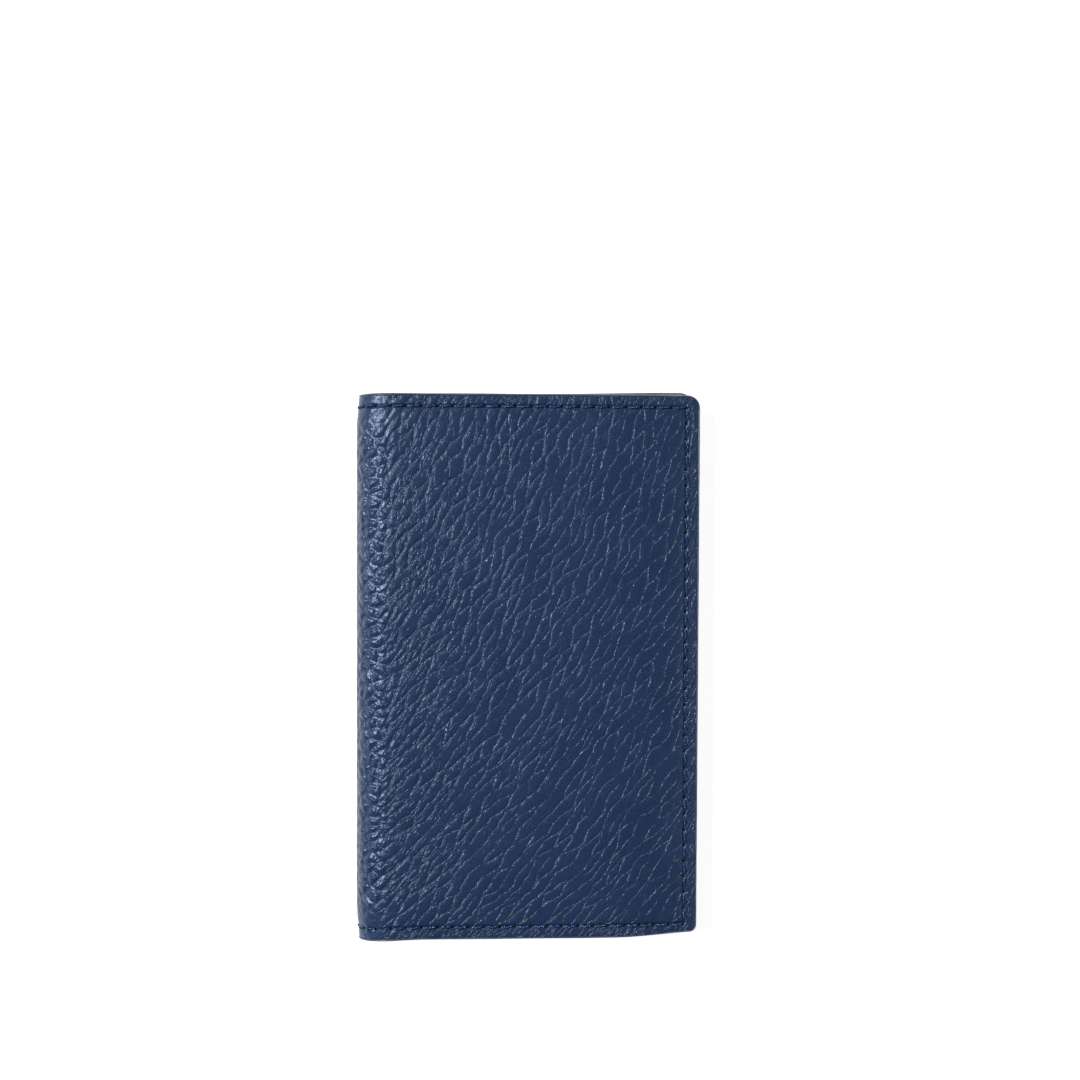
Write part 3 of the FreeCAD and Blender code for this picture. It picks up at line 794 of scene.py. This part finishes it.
def cover_grid(side, u_stops, y_stops, spacing):
    """Grid over one half of the hide inside its coat of paint, and the distance to its cut edge."""
    end = CUT_END[side]
    u_stops = {0.0, end, *(stop for stop in u_stops if 0 < stop < end)}
    y_stops = {-CUT_HALF, CUT_HALF, *(stop for stop in y_stops if abs(stop) < CUT_HALF)}
    s, y = grid_over(side, lines_between(sorted(u_stops), spacing),
                     lines_between(sorted(y_stops), spacing))
    edge = np.minimum(end - np.abs(s), CUT_HALF - np.abs(y))
    s, y = rounded(s, y, side, cut_radii(side), end, CUT_HALF)
    return outline_drift(s, y, side), edge


def make_cover_leather(side):
    """One half of the outer hide, with its grain, seam groove and needle holes as real relief."""
    row = ROW_HOLES[side]
    u_stops = [*row, *(row[-1] + SEAM_STEPS), *(CUT_END[side] - EDGE_STEPS)]
    y_stops = [*COLUMN_HOLES, *(sign * line for sign in (1, -1)
                                for line in (*(SEAM_Y + SEAM_STEPS), *(CUT_HALF - EDGE_STEPS)))]
    (s, y), edge = cover_grid(side, u_stops, y_stops, LEATHER_SPACING)
    across, along = seam_distances(s, y, side)
    relief = relief_at(hide_height, s, y, 0.36) - RELIEF_TOP
    relief *= 0.6 + 0.4 * (1 - smooth(np.abs(s), 6 * MM, 16 * MM))
    groove = GROOVE_DEPTH * (1 - smooth(across, 0.1, GROOVE_WIDTH / MM / 2 + 0.25))
    tug = 0.10 * MM * (1 - smooth(across, 0.3, 1.6)) * (1 - smooth(along, 0.2, 1.2))
    hole = 0.5 * MM * (1 - smooth(np.hypot(across / HOLE_ACROSS, along / 0.32), 0.35, 1.25))
    outer = groove + tug + hole - relief * smooth(across, 0.2, 0.8)
    outer += edge_falloff(edge, *HIDE_ROUNDING)
    if side > 0:
        outer -= FRONT_PLUMP * smooth(edge, 0, 4 * MM) * smooth(s, 0, HALF_ARC)
    piece = slab(side, "cover_leather", (s, y), outer, LEATHER[1], "cover_leather",
                 coarse_inside=True, seam_across=across, seam_along=along)
    stand_for(piece, side, "leather", "spine_leather")


def make_lining(side):
    """One half of the lining, glued smooth to the covers and free in the fold."""
    grid, _ = cover_grid(side, [HALF_ARC], [], 1.2 * MM)
    piece = slab(side, "lining_cloth", grid, *LINING, "lining_cloth")
    stand_for(piece, side, "lining", "spine_lining")


def make_boards(side):
    """Stiffener of the cover and half of the spine's reinforcement."""
    low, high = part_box("back_board")
    grid = grid_over(side, lines_between([HALF_ARC, abs(s_where(high.x, side))], 4 * MM),
                     lines_between([low.y, high.y], 8 * MM))
    stiffener = slab(side, "stiffener", grid, *BOARD, "board")
    stand_for(stiffener, side, "board")
    grid = grid_over(side, lines_between([0.0, HALF_ARC - 0.3 * MM], 0.4 * MM),
                     lines_between([-CUT_HALF, CUT_HALF], 8 * MM))
    strip = slab(side, "spine_strip", grid, *BOARD, "board")
    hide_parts("spine_reinforcement")
    ride_cover(strip, side)


# ------------ pockets

def back_u(x):
    """Distance from the middle of the spine, along the hide, of the back cover's x."""
    return abs(s_where(x, -1))


def rectangle_presence(u, y, u_range, y_range):
    """1 inside a rectangle, falling to 0 at the reach of a drape outside it."""
    out_u = np.maximum(u_range[0] - u, u - u_range[1])
    out_y = np.maximum(y_range[0] - y, y - y_range[1])
    return (1 - smooth(out_u, 0, DRAPE_REACH)) * (1 - smooth(out_y, 0, DRAPE_REACH))


def slot_rectangles(index):
    """Rectangles (u range, y range) that make up a card slot panel."""
    node = f"back_slot_{SLOT_NAMES[index]}"
    us = [back_u(x) for x in corner_values(node, 0)]
    ys = corner_values(node, 1)
    if index == 2:
        return [((us[0], us[-1]), (ys[0], ys[-1]))]
    ears_end = ys[-2]
    return [((us[0], us[-1]), (ears_end, ys[-1])), ((us[1], us[-2]), (ys[0], ears_end))]


def slot_thickness(index):
    """Thickness of a card slot panel."""
    outer, inner = layer(f"back_slot_{SLOT_NAMES[index]}")
    return inner - outer


def slot_lift(u, y, index):
    """Height of a slot panel's outer face above the pocket base, draped over those below it."""
    lift = np.zeros_like(u)
    for below in range(index):
        covers = [rectangle_presence(u, y, *area) for area in slot_rectangles(below)]
        lift = lift + slot_thickness(below) * np.maximum.reduce(covers)
    return lift


def make_panel(side, name, node, grid, outer, inner, edge, keep=None):
    """Panel of pocket leather with a painted rim. edge is the distance to its cut edge."""
    rims = 1 - smooth(edge, 0.12 * MM, 0.3 * MM)
    piece = slab(side, name, grid, outer, inner, "pocket_leather", keep, rim=rims)
    stand_for(piece, side, node)


def pocket_grain(s, y):
    """Modelled relief of the pocket leather, half as high as the one that its bump shows."""
    return relief_at(pocket_height, s, y, 0.3) * 0.5


def make_slot(side, index):
    """Card slot panel with a rolled mouth, a pressed line under it and rounded cut edges."""
    shift = U_END[side] - U_END[-1]

    def on_cover(u):
        """A back cover's u on this cover, whose free half lies a shift further out."""
        return u + (shift if u > 0.5 * U_END[-1] else 0)

    areas = [((on_cover(u_low), on_cover(u_high)), y_range)
             for (u_low, u_high), y_range in slot_rectangles(index)]
    u_stops = {stop for u_range, _ in areas for stop in u_range}
    y_stops = {stop for _, y_range in areas for stop in y_range}
    mouth = max(y_stops)
    line_y = mouth - MOUTH_LINE
    near_line = {line_y + step * 0.15 * MM for step in range(-3, 4)}
    u_lines = edge_lines(u_stops, EDGE_STEPS[:4], 1.0 * MM)
    s, y = grid_over(side, u_lines, edge_lines(y_stops, EDGE_STEPS[:4], 1.0 * MM, near_line))
    middle_u = np.abs(s[:-1, :-1] + s[1:, 1:]) / 2
    middle_y = (y[:-1, :-1] + y[1:, 1:]) / 2
    keep = np.zeros(middle_u.shape, bool)
    edge = np.zeros(s.shape)
    for area in areas:
        keep |= depth_inside(middle_u, middle_y, *area) > 0
        edge = np.maximum(edge, depth_inside(np.abs(s), y, *area))
    base_depth = BASE[1] + slot_lift(np.abs(s), y, index)
    if index == 2:
        s, y = rounded(s, y, side, (0.01 * MM, cut_radii(side)[1]), max(u_stops), CUT_HALF)
    s, y = outline_drift(s, y, side)
    grain = pocket_grain(s, y)
    thickness = slot_thickness(index)
    pressed = 0.12 * MM * np.exp(-((y - line_y) / (0.16 * MM)) ** 2)
    rolled = 0.10 * MM * np.exp(-((mouth - y) / (0.7 * MM)) ** 2)
    rim = edge_falloff(edge, PANEL_RIM, thickness / 2)
    outer = base_depth + rim
    inner = (base_depth + thickness - rim - pressed + rolled
             - (grain - grain.min()) * smooth(edge, 0, 0.5 * MM))
    inner = np.maximum(inner, outer + 0.02 * MM)
    make_panel(side, f"slot_panel_{SLOT_NAMES[index]}", f"slot_{SLOT_NAMES[index]}", (s, y),
               outer, inner, edge, keep)


def make_pocket_base(side):
    """Panel behind the card slots, its open edge towards the spine rounded off."""
    start = back_u(BASE_LOW.x)
    end = CUT_END[side]
    s, y = grid_over(side, edge_lines({start, end}, EDGE_STEPS, 1.0 * MM),
                     edge_lines({BASE_LOW.y, BASE_HIGH.y}, EDGE_STEPS, 1.0 * MM))
    edge = depth_inside(np.abs(s), y, (start, end), (BASE_LOW.y, BASE_HIGH.y))
    middle = (BASE_LOW.y + BASE_HIGH.y) / 2
    s, y = rounded(s, y - middle, side, cut_radii(side), end, BASE_HIGH.y - middle)
    s, y = outline_drift(s, y + middle, side)
    grain = pocket_grain(s, y)
    rim = edge_falloff(edge, PANEL_RIM, (BASE[1] - BASE[0]) / 2)
    inner = BASE[1] - rim + (grain - grain.max()) * smooth(edge, 0, 0.5 * MM)
    make_panel(side, "pocket_panel", "pocket_base", (s, y), BASE[0] + rim, inner, edge)


# ------------ edge paint

# Section of the coat, outside to inside: mm outwards from the cut, and share of the depth.
PAINT_SECTION = np.array([(-0.22, 0.10), (-0.10, 0.0), (0.04, 0.02), (0.16, 0.14), (0.24, 0.32),
                          (0.27, 0.5), (0.24, 0.70), (0.15, 0.88), (0.02, 1.0), (-0.12, 1.02),
                          (-0.25, 0.97), (-0.30, 0.5)])
PAINT_TOP = 0.06 * MM  # depth at which the coat starts
PAINT_SPACING = 0.4 * MM
CORNER_STEPS = 8


def cut_outline(side):
    """Path along the cut outline of one half, with its outward direction, in unrolled places."""
    end = CUT_END[side]
    path, outward = [], []
    top, tail = cut_radii(side)

    def run(a, b, direction):
        count = max(1, round(math.dist(a, b) / PAINT_SPACING))
        for index in range(count):
            path.append(tuple(np.array(a) + (np.array(b) - np.array(a)) * index / count))
            outward.append(direction)

    def turn(centre, radius, first, last):
        for index in range(CORNER_STEPS):
            angle = first + (last - first) * index / CORNER_STEPS
            direction = (math.cos(angle), math.sin(angle))
            path.append((centre[0] + radius * direction[0], centre[1] + radius * direction[1]))
            outward.append(direction)

    run((0, -CUT_HALF), (end - tail, -CUT_HALF), (0, -1))
    turn((end - tail, -CUT_HALF + tail), tail, -math.pi / 2, 0)
    run((end, -CUT_HALF + tail), (end, CUT_HALF - top), (1, 0))
    turn((end - top, CUT_HALF - top), top, 0, math.pi / 2)
    run((end - top, CUT_HALF), (0, CUT_HALF), (0, 1))
    path.append((0, CUT_HALF))
    outward.append((0, 1))
    return np.array(path), np.array(outward)


def tube_faces(rings):
    """Faces of a closed tube from its rings of point numbers, one row for each ring."""
    around = np.roll(rings, -1, axis=1)
    faces = four_sided(rings[:-1], around[:-1], around[1:], rings[1:])
    return faces + [rings[0, ::-1].tolist(), rings[-1].tolist()]


def make_edge_paint(side):
    """Domed coat of paint over the cut edge, lapping a hair's width onto both faces."""
    path, outward = cut_outline(side)
    thin = smooth(path[:, 1], CUT_HALF - 3 * MM, CUT_HALF - 1 * MM)
    in_fold = 1 - smooth(path[:, 0], HALF_ARC, HALF_ARC + 3 * MM)
    depth = BASE[1] + (LINING[1] - BASE[1]) * np.maximum(thin, in_fold)
    wobble = 1 + 0.12 * np.sin(path.sum(axis=1) / (3.1 * MM)) * np.sin(path[:, 1] / (1.7 * MM))
    offsets = PAINT_SECTION[None, :, 0] * MM * wobble[:, None]
    u = np.maximum(path[:, None, 0] + outward[:, None, 0] * offsets, 0)
    y = path[:, None, 1] + outward[:, None, 1] * offsets
    w = PAINT_TOP + PAINT_SECTION[None, :, 1] * (depth[:, None] - PAINT_TOP)
    s, y = outline_drift(u * side, y, side)
    faces = tube_faces(np.arange(s.size).reshape(s.shape))
    if side > 0:
        faces = [face[::-1] for face in faces]
    along = np.concatenate([[0], np.cumsum(np.linalg.norm(np.diff(path, axis=0), axis=1))])
    from_middle = np.minimum(along, along[-1] - along)
    uv = np.stack([np.repeat(from_middle, s.shape[1]), w.ravel()], axis=1)
    piece = new_piece(side, "painted_edge", place(s, y, w).reshape(-1, 3), faces, uv,
                      "edge_paint")
    stand_for(piece, side, "edge_paint", "spine_edge_paint")


# ------------ stitches

class Threads:
    """Gathers stitches, each of two plies that turn round each other, into one mesh."""

    PLY_RADIUS = 0.56  # of a ply, and of its turn, as shares of the thread's
    PLY_OFFSET = 0.48
    CORNERS = 6  # of a ply's section

    def __init__(self):
        self.points = []
        self.faces = []
        self.uv = []
        self.count = 0

    def add_ply(self, path, first, second, radius, phase, turns):
        """One ply: a tube wound round the path. first and second span the path's sections."""
        t = np.linspace(0, 1, len(path))
        wind = (phase + turns * math.tau * t)[:, None, None]
        angles = np.arange(self.CORNERS) / self.CORNERS * math.tau
        corner = angles[:, None]
        path, first, second = path[:, None], first[:, None], second[:, None]
        centre = path + self.PLY_OFFSET * radius * (np.cos(wind) * first + np.sin(wind) * second)
        ply_radius = self.PLY_RADIUS * radius
        points = centre + ply_radius * (np.cos(corner) * first + np.sin(corner) * second)
        self.faces += tube_faces(np.arange(t.size * angles.size).reshape(t.size, -1) + self.count)
        self.points.append(points.reshape(-1, 3))
        self.count += t.size * angles.size
        along = t * np.linalg.norm(path[-1] - path[0])
        uv = np.meshgrid(along, angles / math.tau * ply_radius * 6, indexing="ij")
        self.uv.append(np.stack(uv, axis=-1).reshape(-1, 2))

    def add_stitch(self, start, end, floor, rise, radius, sections=15):
        """Stitch between two needle holes (s, y). It leaves one hole, lies up in the groove with
        a slight slant and dives into the next. floor is the depth in the holes, rise the depth
        on top of the stitch."""
        start, end = np.array(start), np.array(end)
        length = np.linalg.norm(end - start)
        t = np.linspace(0, 1, sections)
        along = (end - start) / length
        sideways = np.array([-along[1], along[0]])
        slant = (t - 0.5) * 0.36 * MM + rng.normal(0, 0.03 * MM)
        reach = 0.22 + 0.72 * t
        line = start + (end - start) * reach[:, None] + sideways * slant[:, None]
        arch = smooth(t, -0.1, 0.3) * (1 - smooth(t, 0.72, 1.0))
        hump = radius * 0.5 * np.exp(-((t - 0.26) / 0.12) ** 2)
        depth = floor + (rise - floor) * arch - hump
        path = place(line[:, 0], line[:, 1], depth)
        below = place(line[:, 0], line[:, 1], depth + 0.1 * MM)
        tangent = np.gradient(path, axis=0)
        tangent /= np.linalg.norm(tangent, axis=1)[:, None]
        first = np.cross(tangent, path - below)
        first /= np.linalg.norm(first, axis=1)[:, None]
        second = np.cross(first, tangent)
        phase = rng.uniform(0, math.tau)
        for ply in range(2):
            self.add_ply(path, first, second, radius, phase + ply * math.pi, length / PLY_TURN)

    def piece(self, side, name, slot):
        """The gathered stitches as a piece."""
        return new_piece(side, name, np.concatenate(self.points), self.faces,
                         np.concatenate(self.uv), slot)


def make_perimeter_seam(side):
    """Outer thread of the perimeter seam of one half. The front's crosses the middle plane."""
    row = ROW_HOLES[side]
    rise = THREAD_TOP[side]
    holes = [-ROW_HOLES[-1][0], *row] if side > 0 else row
    threads = Threads()
    for y in (SEAM_Y, -SEAM_Y):
        for a, b in pairwise(holes):
            sunk = THREAD_SUNK * (1 - smooth(b, 0.3 * HALF_ARC, HALF_ARC))
            threads.add_stitch((a * side, y), (b * side, y), THREAD_START, max(rise, sunk),
                               THREAD_RADIUS)
    line = (row[-1] + 0.08 * MM) * side
    for a, b in pairwise(COLUMN_HOLES):
        threads.add_stitch((line, a), (line, b), THREAD_START, rise, THREAD_RADIUS)
    piece = threads.piece(side, "perimeter_thread", "seam_thread")
    stand_for(piece, side, "perimeter_seam", "spine_seam")


def stack_depth(s, y):
    """Depth of the innermost face of the pockets at an unrolled place on either cover."""
    u = np.abs(s)
    depth = BASE[1] if u >= back_u(BASE_LOW.x) and y <= BASE_HIGH.y else LINING[1]
    for index in range(len(SLOT_NAMES)):
        for area in slot_rectangles(index):
            if depth_inside(u, y, *area) >= 0:
                depth = BASE[1] + slot_lift(u, y, index) + slot_thickness(index)
    return float(depth)


def add_inner_stitch(threads, start, end):
    """Stitch that lies on the pockets or the lining, whichever is innermost there."""
    middle_s, middle_y = (np.array(start) + np.array(end)) / 2
    face = stack_depth(middle_s, middle_y)
    threads.add_stitch(start, end, face - 0.12 * MM, face + 0.14 * MM, INNER_THREAD_RADIUS,
                       sections=9)


def make_inner_threads(side):
    """Inner side of the perimeter seam, the pocket seam beside the spine and the slot seams."""
    row = ROW_HOLES[side]
    inner = Threads()
    for y in (SEAM_Y, -SEAM_Y):
        for a, b in pairwise(row):
            add_inner_stitch(inner, (a * side, y), (b * side, y))
    for a, b in pairwise(COLUMN_HOLES):
        add_inner_stitch(inner, (row[-1] * side, a), (row[-1] * side, b))
    piece = inner.piece(side, "inner_thread", "seam_thread")
    ride_cover(piece, side)

    low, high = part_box("back_pocket_seam")
    s = back_u((low.x + high.x) / 2) * side
    mouth = corner_values("back_slot_top", 1)[-1]
    pocket = Threads()
    for a, b in pairwise(lines_between([-SEAM_Y, mouth - 0.8 * MM], 2.6 * MM)):
        add_inner_stitch(pocket, (s, a), (s, b))
    piece = pocket.piece(side, "pocket_thread", "pocket_thread")
    stand_for(piece, side, "pocket_seam")

    for name in SLOT_NAMES[:2]:
        low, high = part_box(f"back_slot_seam_{name}")
        y = (low.y + high.y) / 2
        face = layer(f"back_slot_{name}")[1]
        hidden = Threads()
        for a, b in pairwise(lines_between([back_u(low.x), back_u(high.x)], 3.1 * MM)):
            hidden.add_stitch((a * side, y), (b * side, y), face - 0.3 * MM, face - 0.13 * MM,
                              SLOT_THREAD_RADIUS, sections=9)
        piece = hidden.piece(side, f"slot_thread_{name}", "pocket_thread")
        stand_for(piece, side, f"slot_seam_{name}")


# ------------ the holder

for cover in (1, -1):
    make_cover_leather(cover)
    make_lining(cover)
    make_boards(cover)
    make_pocket_base(cover)
    for slot_index in range(len(SLOT_NAMES)):
        make_slot(cover, slot_index)
    make_edge_paint(cover)
    make_perimeter_seam(cover)
    make_inner_threads(cover)

# ------------ floor, light and camera

def make_floor():
    """Sheet just under the holder."""
    bpy.ops.mesh.primitive_plane_add(size=6, location=(0, 0, -0.02 * MM))
    floor = bpy.context.object
    floor.name = "floor"
    floor.data.materials.append(new_material("floor", studio_floor))


def make_light(name, direction, distance, size, power):
    """Square soft light that faces the holder from a direction."""
    light = bpy.data.lights.new(name, "AREA")
    light.size = size
    light.energy = power
    holder = new_object(name, light)
    way = np.array(direction) / np.linalg.norm(direction)
    holder.location = way * distance
    holder.rotation_mode = "QUATERNION"
    holder.rotation_quaternion = Vector(-way).to_track_quat("-Z", "Y")


def make_world(overhead, wall, skyline):
    """White tent: bright where it meets the floor, paler walls, and a darker opening overhead."""
    world = bpy.data.worlds.new("studio")
    world.use_nodes = True
    graph = Graph(world.node_tree)
    direction = graph.add("ShaderNodeTexCoord").outputs["Generated"]
    up = graph.add("ShaderNodeSeparateXYZ", {0: direction}).outputs[2]
    strength = graph.plus(graph.ramp(up, 0.02, 0.3, skyline - wall, 0.0),
                          graph.ramp(up, 0.05, 0.6, wall, overhead))
    graph.feed(world.node_tree.nodes["Background"], {0: (0.87, 0.94, 1.0, 1), 1: strength})
    bpy.context.scene.world = world


def make_camera():
    """Camera square above the covers, its axis a quarter of the height above their middle."""
    frame_width = 217 * MM
    distance = 340 * MM
    data = bpy.data.cameras.new("camera")
    data.sensor_width = 36
    data.lens = data.sensor_width * distance / frame_width
    data.clip_start = 0.01
    data.clip_end = 20
    camera = new_object("camera", data)
    camera.location = (2.5 * MM, 25.4 * MM, cad_high.z - 0.5 * MM + distance)
    bpy.context.scene.camera = camera


make_floor()
make_world(overhead=0.06, wall=0.28, skyline=0.7)
make_light("key", (-0.58, 0.24, 0.78), distance=1.3, size=0.45, power=22)
make_light("fill", (0.75, -0.1, 0.6), distance=1.6, size=0.9, power=3)
make_light("top", (0.05, 0.9, 0.7), distance=1.6, size=0.8, power=2.5)
make_camera()
bpy.context.scene.view_settings.view_transform = "Standard"
